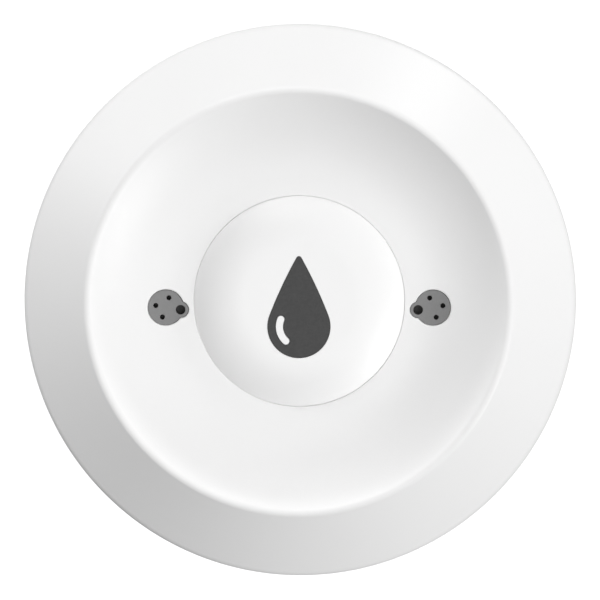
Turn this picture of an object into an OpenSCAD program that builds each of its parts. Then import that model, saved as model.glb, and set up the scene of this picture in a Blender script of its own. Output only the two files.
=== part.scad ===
// Water leak sensor: a round puck with a press button in a dished top, two sound ports,
// four probes under the floor and a coin cell behind a quarter-turn door.
// Millimetres, +Z up, origin on the floor under the centre, drop mark pointing to +Y.

/* [Housing] */
// Outer diameter of the puck
body_d = 60; // [54:1:80]
// Height from the floor to the top of the rim
body_h = 19; // [17.5:0.5:30]
// Wall thickness of the cover
wall = 1.8; // [1.2:0.1:2.4]
// Diameter of the rim crest
rim_d = 45.6; // [42:0.2:50]
// Radius of the rounded rim crest
rim_round = 0.7; // [0.3:0.1:1.2]
// Height where the straight flank would meet the side wall
shoulder_z = 12.5; // [10:0.5:14]
// Radius between the flank and the side wall
shoulder_round = 1.5; // [0.5:0.1:3]
// Depth of the dish below the rim
dish_depth = 3.3; // [2:0.1:4.5]
// Flat ring of the dish floor round the button
dish_land = 1.85; // [0.6:0.05:4]
// Height of the parting line above the floor
part_z = 6; // [5:0.1:8]
// Thickness of the base floor
floor_t = 2; // [1.6:0.1:3]
// Radius under the base
base_round = 2; // [0.5:0.1:3.5]
// Height of the shadow groove at the parting line
groove_h = 0.5; // [0.2:0.1:1]
// Depth of the shadow groove
groove_d = 0.5; // [0.2:0.1:1]
// Height of the base lip inside the cover
lip_h = 2.6; // [2.2:0.1:4]
// Thickness of the base lip
lip_t = 1.8; // [1.4:0.1:2.6]
// Clearance between lip and cover
lip_fit = 0.15; // [0.05:0.05:0.3]
// Section diameter of the housing seal
seal_d = 1.1; // [0.8:0.1:1.3]
// Thickness of the stiffening ribs
rib_t = 1; // [0.6:0.1:1.6]
// Height of the ribs on the base floor
rib_h = 1.2; // [0.6:0.1:2]

/* [Button] */
// Diameter of the button
button_d = 22.6; // [20:0.1:26]
// Gap round the button
button_gap = 0.15; // [0.1:0.05:0.4]
// Height of the button crown above the dish floor
button_rise = 1.8; // [0.8:0.05:2.5]
// Diameter of the flat middle of the crown
button_flat_d = 12; // [4:0.5:16]
// Thickness of the button crown
button_wall = 1.6; // [1.2:0.1:2.2]
// Thickness of the button skirt
skirt_wall = 1.4; // [1:0.1:2]
// Press travel
button_travel = 0.5; // [0.2:0.05:0.7]
// Diameter of the stem under the button
stem_d = 4; // [3:0.1:5]
// Depth of the button well from the dish floor to its shelf
well_depth = 3.1; // [2.8:0.1:3.6]
// Wall of the button well
well_wall = 0.55; // [0.4:0.05:1]
// Thickness of the well shelf
shelf_t = 1.4; // [1:0.1:1.8]
// Diameter of the opening in the well shelf
shelf_d = 15.2; // [13:0.2:16]
// Reach of the snap bumps on the skirt
bump_reach = 0.45; // [0.3:0.05:0.6]
// Height of the snap bumps
bump_h = 0.7; // [0.5:0.1:1]
// Thickness of the diaphragm web
web_t = 0.45; // [0.3:0.05:0.7]
// Thickness of the diaphragm pad
pad_t = 0.8; // [0.5:0.1:1.2]
// Diameter of the diaphragm pad
pad_d = 5.2; // [4:0.1:6]
// Height of the diaphragm pleat
pleat_h = 1; // [0.6:0.1:1.2]
// Width of the diaphragm pleat
pleat_w = 1.6; // [1:0.1:2]
// Height of the diaphragm bead
bead_h = 0.7; // [0.6:0.1:1]
// Width of the diaphragm bead
bead_w = 1.5; // [1:0.1:1.7]

/* [Drop mark] */
// Width of the drop
drop_w = 6.8; // [4:0.1:8]
// Height of the drop from tip to foot
drop_h = 11; // [8:0.1:12]
// Distance of the tip from the button centre
drop_top = 4.9; // [3:0.1:6]
// Radius of the drop tip
drop_tip_round = 0.3; // [0.1:0.05:0.8]
// Radius of the slightly swelling flanks of the drop
drop_side_r = 50; // [30:5:200]
// Thickness of the inlay
inlay_t = 0.7; // [0.4:0.1:1]
// Radius of the glint arc about the lobe centre
glint_r = 2.1; // [1.4:0.1:2.4]
// Width of the glint arc
glint_w = 0.75; // [0.4:0.05:1]
// Angle where the glint begins, counter-clockwise from +X
glint_from = 158; // [130:1:170]
// Angle where the glint ends
glint_to = 228; // [200:1:250]

/* [Sound ports] */
// Gap between the button well and the acoustic membranes
port_gap = 0.05; // [0.05:0.05:1]
// Diameter of the grille disc
port_d = 3.8; // [3.2:0.1:4.2]
// Diameter of the lobe round the large hole
port_lobe_d = 1.7; // [1.5:0.1:2]
// Distance from the grille disc to its lobe
port_lobe_x = 1.6; // [1.2:0.1:1.7]
// Offset of the lobe below the middle of the grille disc
port_lobe_y = 0.25; // [0:0.05:0.6]
// Diameter of the circle of small holes
port_ring_d = 2.2; // [1.8:0.05:2.6]
// Offset of the ports below the centre line
port_drop = 0.7; // [0:0.05:2]
// Diameter of the three small holes
port_hole_d = 0.55; // [0.4:0.05:0.9]
// Diameter of the large hole
port_large_d = 1.05; // [0.8:0.05:1.3]
// Recess of the grille below the dish surface
port_recess = 0.1; // [0:0.05:0.4]
// Diameter of the acoustic membranes
membrane_d = 4.8; // [4.4:0.1:5]
// Thickness of the acoustic membranes
membrane_t = 0.3; // [0.2:0.05:0.5]

/* [Battery and door] */
// Diameter of the coin cell
cell_d = 20; // [16:0.1:24.5]
// Thickness of the coin cell
cell_t = 3.2; // [2.9:0.1:5]
// Width of the insulating step round the cell's cap
cell_step = 1.3; // [0.8:0.1:2]
// Space between the cell and the board for the contact springs
contact_gap = 1.4; // [1:0.1:2.5]
// Thickness of the contact springs
leaf_t = 0.25; // [0.15:0.05:0.4]
// Width of the contact springs
leaf_w = 4; // [2:0.1:5]
// Distance of the middle spring's foot from the cell axis
leaf_reach = 8; // [6:0.5:9]
// Radial play of the cell in the door cup
cell_play = 0.3; // [0.15:0.05:0.6]
// Wall of the door cup
cup_wall = 1.4; // [1:0.1:2]
// Running clearance of the door
door_fit = 0.2; // [0.1:0.05:0.3]
// Play between the door and its ledge
door_play = 0.1; // [0.05:0.05:0.2]
// Reach of the bayonet lugs
lug_reach = 1.4; // [1:0.1:2]
// Thickness of the bayonet lugs
lug_t = 1; // [0.8:0.1:1.2]
// Angle that one lug covers
lug_angle = 26; // [16:1:30]
// Thickness of the bayonet ledge
ledge_t = 1.3; // [1:0.1:1.4]
// Twist that frees the door
door_twist = 45; // [30:1:50]
// Width of the door seal
door_seal_w = 1; // [0.8:0.1:1.4]
// Depth of the door seal groove
door_seal_h = 0.8; // [0.5:0.1:1]
// Wall of the collar round the door
collar_wall = 1.6; // [1.2:0.1:2.2]
// Width of the coin slot
slot_w = 2; // [1.6:0.1:3]
// Depth of the coin slot
slot_depth = 1.1; // [0.6:0.1:1.2]
// Radius of the coin slot floor
slot_r = 22; // [12:1:30]

/* [Board] */
// Thickness of the circuit board
board_t = 1.6; // [1:0.1:2]
// Gap between the board edge and the base lip
board_play = 0.35; // [0.2:0.05:0.6]
// Width of the push switch
switch_w = 6; // [4.5:0.1:7]
// Height of the push switch body
switch_h = 2.2; // [1.8:0.1:2.6]
// Height of the switch frame, below its cover plate
switch_frame_h = 1.5; // [1:0.1:1.7]
// Height of the plunger top above the board
plunger_h = 3.1; // [2.9:0.1:3.6]
// Diameter of the plunger
plunger_d = 3.4; // [2.5:0.1:3.6]
// Width of the square sounder
buzzer_w = 9; // [7:0.1:9]
// Height of the sounder
buzzer_h = 1.9; // [1.4:0.1:1.9]
// Length of the radio board
radio_l = 16; // [12:0.5:16]
// Width of the radio board
radio_w = 9.5; // [8:0.5:9.5]
// Thickness of the radio board
radio_t = 0.6; // [0.4:0.1:0.7]
// Length of the radio shield
shield_l = 11; // [8:0.5:11]
// Height of the radio shield
shield_h = 1.2; // [0.8:0.1:1.2]
// Wall of the radio shield
shield_wall = 0.2; // [0.15:0.05:0.3]
// Margin of the radio board inside the shield side walls
shield_margin = 1.2; // [1:0.1:2]
// Width of the controller chip
chip_w = 6; // [4:0.5:7]
// Height of the controller chip
chip_h = 0.9; // [0.6:0.1:1.2]
// Distance of the controller chip from the board edge
chip_edge = 5; // [4:0.5:7]
// Length of the status light
led_l = 3; // [2.4:0.1:3.2]
// Width of the status light
led_w = 1.5; // [1.2:0.1:1.8]
// Height of the status light
led_h = 1; // [0.8:0.1:1.4]
// Length of the chip capacitors
cap_l = 1.6; // [1:0.1:2]
// Width and height of the chip capacitors
cap_w = 0.8; // [0.5:0.1:1]
// Distance of the chip capacitors from the board edge
cap_edge = 7; // [6:0.5:8]

/* [Screws, probes and feet] */
// Diameter of the rubber feet
foot_d = 8; // [6.5:0.1:9]
// Height of the feet below the base
foot_h = 1; // [0.8:0.1:2]
// Depth of the foot seats in the base
foot_sink = 0.5; // [0.3:0.1:0.8]
// Diameter of the housing screws
screw_d = 2.2; // [1.8:0.1:2.6]
// Length of the cross recess in the screw heads
recess_l = 2.4; // [1.6:0.1:2.8]
// Width of the cross recess
recess_w = 0.6; // [0.4:0.1:0.8]
// Head diameter of the housing screws
head_d = 4; // [3.4:0.1:4.4]
// Head height of the housing screws
head_h = 1.4; // [1:0.1:1.8]
// Depth of thread in the cover bosses
screw_bite = 4; // [2.5:0.1:4.5]
// Diameter of the base bosses
base_boss_d = 5.6; // [5.4:0.1:6.2]
// Diameter of the cover bosses
cover_boss_d = 5; // [4.4:0.1:5.6]
// Diameter of the probe screws
probe_d = 2; // [1.6:0.1:2.4]
// Head diameter of the probe screws
probe_head_d = 5; // [4:0.1:6]
// Height of the probe tips above the floor
probe_tip = 0.35; // [0.2:0.05:0.6]
// Depth of the probe seats in the base
probe_sink = 0.9; // [0.7:0.1:1.2]
// Thickness of the probe washers
washer_t = 0.5; // [0.3:0.05:0.6]
// Width across flats of the brass spacers
spacer_af = 4; // [3.4:0.1:4.6]
// Solid end of the brass spacers above their screw hole
spacer_web = 1.2; // [0.8:0.1:1.6]
// Diameter of the spacer pins through the board
pin_d = 1.4; // [1:0.1:1.6]

/* [Hidden] */
$fn = 96;

// Clearances that every fit of a kind shares, in mm and in degrees, and the overlap of shapes that fuse
slip = 0.05;
loose = 0.2;
turn_play = 1;
merge = 0.5;

// Levels from the floor up
base_z = foot_h;
floor_z = base_z + floor_t;
door_z = floor_z - door_play;
cell_top = door_z + cell_t;
board_under = cell_top + contact_gap;
board_top = board_under + board_t;
plunger_top = board_top + plunger_h;
pad_z = plunger_top + slip;
lip_z = part_z + lip_h;

// Levels from the rim down
dish_z = body_h - dish_depth;
plate_under = dish_z - wall;
crown_z = dish_z + button_rise;
crown_under = crown_z - button_wall;
shelf_z = dish_z - well_depth;
shelf_under = shelf_z - shelf_t;

// Outer form of the cover: flank, rim and dish
body_r = body_d / 2;
inner_r = body_r - wall;
rim_c = [rim_d / 2, body_h - rim_round];
flank_run = [body_r, shoulder_z] - rim_c;
flank_angle = asin(rim_round / norm(flank_run)) - heading(flank_run);
flank_out = [sin(flank_angle), cos(flank_angle)];
flank_down = [cos(flank_angle), -sin(flank_angle)];
flank_top = rim_c + rim_round * flank_out;
shoulder_x = body_r - shoulder_round;
shoulder_c = [shoulder_x, flank_z(shoulder_x, shoulder_round)];
button_r = button_d / 2;
opening_r = button_r + button_gap;
land_r = opening_r + dish_land;
dish_run = rim_c[0] - land_r;
dish_fall = dish_depth - rim_round;
dish_r = (dish_run * dish_run + dish_fall * dish_fall - rim_round * rim_round) / (2 * dish_depth);
dish_c = [land_r, dish_z + dish_r];
rim_angle = heading(dish_c - rim_c);

// Inner form of the cover: the same surfaces one wall further in
dish_to_flank = (dish_c - flank_top) * flank_out + wall;
under_r = dish_r + wall;
under_rim = dish_c - dish_to_flank * flank_out + side(under_r, dish_to_flank) * flank_down;

// Lip, board and the circle that carries screws and probes
lip_r = inner_r - lip_fit;
lip_in_r = lip_r - lip_t;
board_r = lip_in_r - board_play;
boss_margin = 0.45;
screw_r = lip_in_r - base_boss_d / 2 - boss_margin;
screw_angles = [45 : 90 : 315];
probe_angles = [0 : 90 : 270];
rib_angles = [22.5 : 45 : 337.5];
cap_angles = [-118, -107, -73, -62, -22, 22, 55, 125, 158];
head_gap = 0.7;
seat_z = base_z + foot_sink + head_gap + head_h;
screw_tip = board_top + screw_bite;

// Button well, snaps and skirt
well_r = opening_r + well_wall;
snap_angles = [30 : 120 : 270];
snap_wall = 1;
snap_r = button_r + bump_reach;
snap_back_r = snap_r + loose + snap_wall;
snap_width = 14;
snap_back_width = 26;
skirt_z = shelf_z + button_travel + loose;
bump_z = skirt_z + loose;

// Button crown as an arc that leaves the flat middle without a crease
crown_flat_r = button_flat_d / 2;
crown_run = button_r - crown_flat_r;
crown_r = (crown_run * crown_run + button_rise * button_rise) / (2 * button_rise);
crown_c = [crown_flat_r, crown_z - crown_r];

// Drop mark
drop_lobe_r = drop_w / 2;
drop_lobe = [0, drop_top - drop_h + drop_lobe_r];
drop_tip = [0, drop_top - drop_tip_round];
drop_side_c = meet(drop_lobe, drop_side_r - drop_lobe_r, drop_tip, drop_side_r - drop_tip_round);

// Sound ports
port_x = well_r + port_gap + membrane_d / 2;
port_seat = 0.4;
port_seat_z = plate_under - port_seat;
port_lobe = [-port_lobe_x, -port_lobe_y];
port_hole_angles = [108, 11, -71];

// Battery door
cell_r = cell_d / 2;
cup_r = cell_r + cell_play;
plug_r = cup_r + cup_wall;
ledge_r = plug_r + door_fit;
lug_r = plug_r + lug_reach;
bore_r = lug_r + door_fit;
seal_land = 0.6;
door_seal_r = bore_r + seal_land;
door_r = door_seal_r + door_seal_w + seal_land;
hatch_r = door_r + door_fit;
collar_r = hatch_r + collar_wall;
ledge_z = floor_z + ledge_t;
lug_z = ledge_z + door_play;
cup_top = lug_z + lug_t;
collar_z = cup_top + merge;
lug_angles = [30 : 120 : 270];
door_chamfer = 0.4;

function heading(v) = atan2(v[1], v[0]);
function polar(c, r, a) = c + r * [cos(a), sin(a)];
function side(slant, other) = sqrt(slant * slant - other * other);

// Left one of the two points at distance r1 from c1 and r2 from c2, for c2 straight above c1
function meet(c1, r1, c2, r2) =
    let (gap = norm(c2 - c1), up = (r1 * r1 - r2 * r2 + gap * gap) / (2 * gap))
    c1 + [-side(r1, up), up];

// Height of a line at x that runs inside the flank at the given distance
function flank_z(x, inside) =
    flank_top[1] - (inside + (x - flank_top[0]) * sin(flank_angle)) / cos(flank_angle);

// Points of a thin strip: the path forwards and the same path raised by t backwards
function strip(path, t) = concat(path, [for (i = [len(path) - 1 : -1 : 0]) path[i] + [0, t]]);

// Slice of a disc between two angles
module pie(c, r, a1, a2) {
    reach = 2 * r / cos((a2 - a1) / 2);
    intersection() {
        translate(c) circle(r);
        polygon([c, polar(c, reach, a1), polar(c, reach, a2)]);
    }
}

// What a disc has outside the chord between two angles
module bulge(c, r, a1, a2) {
    reach = 2 * r / cos((a2 - a1) / 2);
    intersection() {
        translate(c) circle(r);
        polygon([polar(c, r, a1), polar(c, reach, a1), polar(c, reach, a2), polar(c, r, a2)]);
    }
}

// Ring segment between two radii, two heights and two angles
module ring_part(r1, r2, z1, z2, a1, a2) {
    rotate([0, 0, a1])
        rotate_extrude(angle = a2 - a1)
            translate([r1, z1]) square([r2 - r1, z2 - z1]);
}

// Full ring
module ring(r1, r2, z1, z2) {
    rotate_extrude() translate([r1, z1]) square([r2 - r1, z2 - z1]);
}

module post(d, z1, z2) {
    translate([0, 0, z1]) cylinder(d = d, h = z2 - z1);
}

// Box centred in x and y that stands on height z
module block(size, z) {
    translate([-size[0] / 2, -size[1] / 2, z]) cube(size);
}

module at_screws() {
    for (a = screw_angles) rotate([0, 0, a]) translate([screw_r, 0]) children();
}

module at_probes() {
    for (a = probe_angles) rotate([0, 0, a]) translate([screw_r, 0]) children();
}

// Side +1 is the right port, -1 its mirror image on the left
module at_port(side) {
    mirror([side < 0 ? 1 : 0, 0, 0]) translate([port_x, -port_drop]) children();
}

// Half section of the cover's outside, filled to the axis
module outer_section() {
    difference() {
        union() {
            polygon([
                [0, part_z], [body_r, part_z], [body_r, shoulder_c[1]],
                polar(shoulder_c, shoulder_round, 90 - flank_angle),
                flank_top, polar(rim_c, rim_round, rim_angle), [land_r, dish_z], [0, dish_z]
            ]);
            bulge(shoulder_c, shoulder_round, 0, 90 - flank_angle);
            bulge(rim_c, rim_round, 90 - flank_angle, rim_angle);
        }
        pie(dish_c, dish_r, -90, rim_angle - 180);
    }
}

// Half section of the space inside the cover
module cavity_section() {
    difference() {
        polygon([
            [0, part_z - merge], [inner_r, part_z - merge], [inner_r, flank_z(inner_r, wall)],
            under_rim, [land_r, plate_under], [0, plate_under]
        ]);
        pie(dish_c, under_r, -90, heading(under_rim - dish_c));
    }
}

// Half section of the button well: a short tube with a shelf at its foot
module well_section() {
    top = plate_under + wall / 2;
    polygon([
        [shelf_d / 2, shelf_under], [well_r, shelf_under], [well_r, top],
        [opening_r, top], [opening_r, shelf_z], [shelf_d / 2, shelf_z]
    ]);
}

// Half section that screw bosses and ribs fill, which ends halfway through the cover's wall
module boss_section() {
    half = wall / 2;
    side_r = body_r - half;
    boss_in = screw_r - cover_boss_d / 2 - merge;
    polygon([
        [boss_in, part_z], [side_r, part_z], [side_r, flank_z(side_r, half)],
        [rim_c[0], flank_z(rim_c[0], half)],
        [boss_in, dish_c[1] - side(dish_r + half, boss_in - land_r)]
    ]);
}

module outer_form() {
    rotate_extrude() outer_section();
}

module port_outline(grow) {
    circle(port_d / 2 + grow);
    translate(port_lobe) circle(port_lobe_d / 2 + grow);
}

module top_cover() {
    color("white") difference() {
        union() {
            rotate_extrude() {
                difference() {
                    outer_section();
                    cavity_section();
                    square([opening_r, body_h]);
                }
                well_section();
            }
            intersection() {
                rotate_extrude() boss_section();
                at_screws() {
                    post(cover_boss_d, board_top, body_h);
                    translate([0, -rib_t / 2, max(lip_z, board_top) + loose])
                        cube([inner_r + merge - screw_r, rib_t, body_h]);
                }
            }
            for (side = [-1, 1]) at_port(side) post(membrane_d, port_seat_z, dish_z - merge);
            for (a = snap_angles)
                ring_part(opening_r + well_wall / 2, snap_back_r, shelf_under + loose,
                    plate_under + merge, a - snap_back_width / 2, a + snap_back_width / 2);
        }
        at_screws() post(screw_d + 2 * slip, board_top - merge, screw_tip + loose);
        for (side = [-1, 1])
            at_port(side) translate([0, 0, port_seat_z - merge])
                linear_extrude(body_h) port_outline(slip);
        for (a = snap_angles)
            ring_part(opening_r - merge, snap_r + loose, bump_z - button_travel - loose,
                bump_z + bump_h + 2 * slip, a - snap_width / 2, a + snap_width / 2);
    }
}

// Grey four-hole insert that fills the port opening
module port_grille(side) {
    color("gray") difference() {
        intersection() {
            translate([0, 0, -port_recess]) outer_form();
            at_port(side) translate([0, 0, port_seat_z]) linear_extrude(body_h) port_outline(0);
        }
        at_port(side) {
            for (a = port_hole_angles) rotate([0, 0, a])
                translate([port_ring_d / 2, 0]) post(port_hole_d, 0, body_h);
            translate(port_lobe) post(port_large_d, 0, body_h);
        }
    }
}

module left_port_grille() {
    port_grille(-1);
}

module right_port_grille() {
    port_grille(1);
}

module port_membranes() {
    color("dimgray") for (side = [-1, 1])
        at_port(side) post(membrane_d, port_seat_z - membrane_t, port_seat_z);
}

// Round lobe and small round tip, joined by two large arcs that touch both
module drop_outline() {
    low = polar(drop_side_c, drop_side_r, heading(drop_lobe - drop_side_c));
    high = polar(drop_side_c, drop_side_r, heading(drop_tip - drop_side_c));
    intersection() {
        translate(drop_side_c) circle(drop_side_r);
        mirror([1, 0]) translate(drop_side_c) circle(drop_side_r);
        translate([-drop_w, low[1]]) square([2 * drop_w, high[1] - low[1]]);
    }
    translate(drop_lobe) circle(drop_lobe_r);
    translate(drop_tip) circle(drop_tip_round);
}

// Arc with round ends, left open in the drop so that the white button shows as a glint
module glint_outline(grow) {
    difference() {
        pie(drop_lobe, glint_r + glint_w / 2 + grow, glint_from, glint_to);
        translate(drop_lobe) circle(glint_r - glint_w / 2 - grow);
    }
    for (a = [glint_from, glint_to]) translate(polar(drop_lobe, glint_r, a)) circle(glint_w / 2 + grow);
}

// Half section of the button without its hollow
module button_section() {
    polygon([[0, skirt_z], [button_r, skirt_z], [button_r, dish_z], [crown_flat_r, crown_z], [0, crown_z]]);
    bulge(crown_c, crown_r, heading([button_r, dish_z] - crown_c), 90);
}

module button_form() {
    rotate_extrude() button_section();
}

module button_cap() {
    hollow_r = button_r - skirt_wall;
    color("white") difference() {
        union() {
            difference() {
                button_form();
                translate([0, 0, skirt_z - merge])
                    cylinder(r = hollow_r, h = dish_z - button_wall / 2 - skirt_z + merge);
                translate([0, 0, skirt_z - merge])
                    cylinder(r = crown_flat_r, h = crown_under - skirt_z + merge);
            }
            post(stem_d, pad_z + pad_t + slip, crown_under + merge);
            for (a = snap_angles)
                ring_part(button_r - skirt_wall / 2, snap_r, bump_z, bump_z + bump_h,
                    a - snap_width / 2 + turn_play, a + snap_width / 2 - turn_play);
        }
        translate([0, 0, crown_z - inlay_t]) linear_extrude(inlay_t + merge) difference() {
            drop_outline();
            glint_outline(0);
        }
    }
}

module drop_mark() {
    color("dimgray") intersection() {
        button_form();
        translate([0, 0, crown_z - inlay_t]) linear_extrude(inlay_t + merge) difference() {
            drop_outline();
            glint_outline(slip);
        }
    }
}

// Thin silicone membrane: bead on the shelf, one pleat, pad between stem and plunger
module button_diaphragm() {
    bead_r = shelf_d / 2 + loose;
    pad_r = pad_d / 2;
    web_in = [pad_r - merge, pad_z + slip];
    web_edge = [shelf_d / 2 - loose, shelf_z + slip];
    web_out = [bead_r + merge, shelf_z + slip];
    web_mid = (web_in + web_edge) / 2;
    half_pleat = pleat_w / 2 * (web_edge - web_in) / norm(web_edge - web_in);
    color("gainsboro") rotate_extrude() {
        polygon(strip([
            web_in, web_mid - half_pleat, web_mid + [0, pleat_h], web_mid + half_pleat, web_edge, web_out
        ], web_t));
        translate([bead_r, shelf_z]) square([bead_w, bead_h]);
        translate([0, pad_z]) square([pad_r, pad_t]);
    }
}

// Half section of the base: floor, rounded wall, shoulder under the cover and lip inside it
module base_section() {
    round_c = [body_r - base_round, base_z + base_round];
    groove_r = body_r - groove_d;
    groove_z = part_z - groove_h;
    seal_depth = seal_d - lip_fit;
    difference() {
        union() {
            polygon([
                [0, base_z], [round_c[0], base_z], [body_r, round_c[1]], [body_r, groove_z],
                [groove_r, groove_z], [groove_r, part_z], [lip_r, part_z], [lip_r, lip_z],
                [lip_in_r, lip_z], [lip_in_r, floor_z], [0, floor_z]
            ]);
            bulge(round_c, base_round, -90, 0);
        }
        translate([lip_r - seal_depth, part_z + (lip_h - seal_d - loose) / 2])
            square([seal_d, seal_d + loose]);
    }
}

// Room for a bayonet lug between two turns of the door
module lug_path(from, to, z1, z2) {
    half = lug_angle / 2 + turn_play;
    ring_part(ledge_r - merge, bore_r, z1, z2, from - half, to + half);
}

// Lower shell. The collar round the battery has three lug tracks, which end where the door stops.
module base_tray() {
    hole_d = screw_d + 2 * loose;
    color("whitesmoke") difference() {
        union() {
            rotate_extrude() base_section();
            post(2 * collar_r, floor_z - merge, collar_z);
            at_screws() post(base_boss_d, floor_z - merge, board_under);
            for (a = rib_angles)
                rotate([0, 0, a]) translate([collar_r - merge, -rib_t / 2, floor_z - merge])
                    cube([lip_in_r - collar_r + 2 * merge, rib_t, rib_h + merge]);
        }
        post(2 * hatch_r, base_z - merge, floor_z);
        post(2 * ledge_r, floor_z - merge, collar_z + merge);
        for (a = lug_angles) {
            lug_path(a - door_twist, a, ledge_z, collar_z + merge);
            lug_path(a - door_twist, a - door_twist, floor_z - merge, ledge_z + merge);
        }
        at_screws() {
            post(foot_d + 2 * slip, base_z - merge, base_z + foot_sink);
            post(head_d + 2 * loose, base_z, seat_z);
            post(hole_d, seat_z - merge, board_under + merge);
        }
        at_probes() {
            post(probe_head_d + 2 * loose, base_z - merge, base_z + probe_sink);
            post(probe_d + 2 * loose, base_z, floor_z + merge);
        }
    }
}

module housing_seal() {
    color("dimgray") rotate_extrude()
        translate([inner_r - seal_d / 2, part_z + lip_h / 2]) circle(d = seal_d - 2 * slip);
}

module rubber_feet() {
    chamfer = 0.4;
    color("dimgray") at_screws() rotate_extrude() polygon([
        [0, 0], [foot_d / 2 - chamfer, 0], [foot_d / 2, chamfer],
        [foot_d / 2, base_z + foot_sink], [0, base_z + foot_sink]
    ]);
}

// Cross recess cut into a screw head from below
module cross_recess(z, depth) {
    for (a = [0, 90]) rotate([0, 0, a]) block([recess_l, recess_w, depth + merge], z - merge);
}

module housing_screws() {
    color("silver") at_screws() difference() {
        union() {
            post(head_d, seat_z - head_h, seat_z);
            post(screw_d, seat_z - merge, screw_tip);
        }
        cross_recess(seat_z - head_h, head_h / 2);
    }
}

module probe_screws() {
    head_z = base_z + probe_sink - washer_t;
    crown = 0.5;
    head_r = probe_head_d / 2;
    color("gold") at_probes() difference() {
        union() {
            rotate_extrude() {
                polygon([
                    [0, probe_tip], [head_r - crown, probe_tip], [head_r, probe_tip + crown],
                    [head_r, head_z], [0, head_z]
                ]);
                bulge([head_r - crown, probe_tip + crown], crown, -90, 0);
            }
            post(probe_d, head_z - slip, board_under - spacer_web - loose);
        }
        cross_recess(probe_tip, crown);
    }
}

module probe_washers() {
    top = base_z + probe_sink;
    color("dimgray") at_probes() ring(probe_d / 2 + slip, probe_head_d / 2, top - washer_t, top);
}

module probe_standoffs() {
    color("goldenrod") at_probes() difference() {
        union() {
            translate([0, 0, floor_z])
                cylinder(d = spacer_af / cos(30), h = board_under - floor_z, $fn = 6);
            post(pin_d, board_under - merge, board_top + merge);
        }
        post(probe_d + 2 * slip, floor_z - merge, board_under - spacer_web);
    }
}

module battery_door() {
    color("whitesmoke") difference() {
        union() {
            rotate_extrude() polygon([
                [0, base_z], [door_r - door_chamfer, base_z], [door_r, base_z + door_chamfer],
                [door_r, door_z], [plug_r, door_z], [plug_r, cup_top], [cup_r, cup_top],
                [cup_r, door_z], [0, door_z]
            ]);
            for (a = lug_angles)
                ring_part(plug_r - cup_wall / 2, lug_r, lug_z, cup_top, a - lug_angle / 2, a + lug_angle / 2);
        }
        ring(door_seal_r, door_seal_r + door_seal_w, door_z - door_seal_h, door_z + merge);
        translate([0, 0, base_z + slot_depth - slot_r])
            rotate([90, 0, 0]) cylinder(r = slot_r, h = slot_w, center = true);
    }
}

module door_seal() {
    color("dimgray")
        ring(door_seal_r + slip, door_seal_r + door_seal_w - slip, door_z - door_seal_h, floor_z - slip);
}

module coin_cell() {
    crimp = 0.25;
    gasket = 0.35;
    cap_r = cell_r - cell_step;
    rim_r = cap_r + gasket;
    color("silver") rotate_extrude() polygon([
        [0, door_z], [cell_r - crimp, door_z], [cell_r, door_z + crimp], [cell_r, cell_top - 2 * crimp],
        [cell_r - crimp, cell_top - crimp], [rim_r, cell_top - crimp], [rim_r, cell_top - 2 * crimp],
        [cap_r, cell_top - 2 * crimp], [cap_r - crimp, cell_top], [0, cell_top]
    ]);
}

// Leaf spring from the board down to the middle of the cell
module negative_contact() {
    foot_z = board_under - leaf_t;
    foot_l = 3.5;
    touch = 1;
    toe = 1;
    color("goldenrod") rotate([90, 0, 0]) linear_extrude(leaf_w, center = true) polygon(strip([
        [-leaf_reach, foot_z], [foot_l - leaf_reach, foot_z], [-touch, cell_top], [touch, cell_top],
        [touch + toe, cell_top + contact_gap / 3]
    ], leaf_t));
}

// Leaf spring from the board down to the side of the can
module positive_contact() {
    touch = cell_r + slip;
    touch_low = cup_top + loose;
    touch_high = cell_top - leaf_t;
    bend = touch + contact_gap;
    foot_end = bend + leaf_w;
    color("goldenrod") rotate([0, 0, 90]) rotate([90, 0, 0])
        linear_extrude(leaf_w, center = true) polygon([
            [touch, touch_low], [touch + leaf_t, touch_low], [touch + leaf_t, touch_high],
            [bend + leaf_t, board_under - leaf_t], [foot_end, board_under - leaf_t],
            [foot_end, board_under], [bend, board_under], [touch, touch_high + leaf_t / 2]
        ]);
}

module circuit_board() {
    color("darkgreen") difference() {
        post(2 * board_r, board_under, board_top);
        at_screws() post(screw_d + 2 * loose, board_under - merge, board_top + merge);
        at_probes() post(pin_d + 2 * slip, board_under - merge, board_top + merge);
    }
}

module switch_body() {
    leg = [1.2, 0.7, 0.2];
    color("dimgray") difference() {
        union() {
            block([switch_w, switch_w, switch_frame_h], board_top);
            block([switch_w - loose, switch_w - loose, switch_h], board_top);
            for (x = [-1, 1], y = [-1, 1])
                translate([x * switch_w / 2, y * switch_w / 3]) block(leg, board_top);
        }
        post(plunger_d + 4 * slip, board_top + loose, board_top + plunger_h);
    }
}

module switch_plunger() {
    color("black") post(plunger_d, board_top + 2 * loose + button_travel, plunger_top);
}

module piezo_buzzer() {
    x = screw_r - pin_d / 2 - buzzer_w / 2 - loose;
    vent_d = 1.6;
    color("black") translate([-x, 0]) difference() {
        union() {
            block([buzzer_w, buzzer_w - loose, buzzer_h], board_top);
            block([buzzer_w - loose, buzzer_w, buzzer_h / 2], board_top);
        }
        translate([buzzer_w / 4, 0]) post(vent_d, board_top + buzzer_h / 2, board_top + 2 * buzzer_h);
    }
}

module at_radio() {
    translate([0, screw_r - pin_d / 2 - loose - radio_w / 2]) children();
}

// Small board with a row of half-round solder notches along both long edges
module radio_board() {
    notch_d = 0.8;
    pitch = 1.8;
    notches = floor((radio_l - pitch) / pitch);
    color("darkgreen") at_radio() difference() {
        block([radio_l, radio_w, radio_t], board_top);
        for (i = [0 : notches], y = [-1, 1])
            translate([(i - notches / 2) * pitch, y * radio_w / 2])
                post(notch_d, board_top - merge, board_top + radio_t + merge);
    }
}

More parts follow.
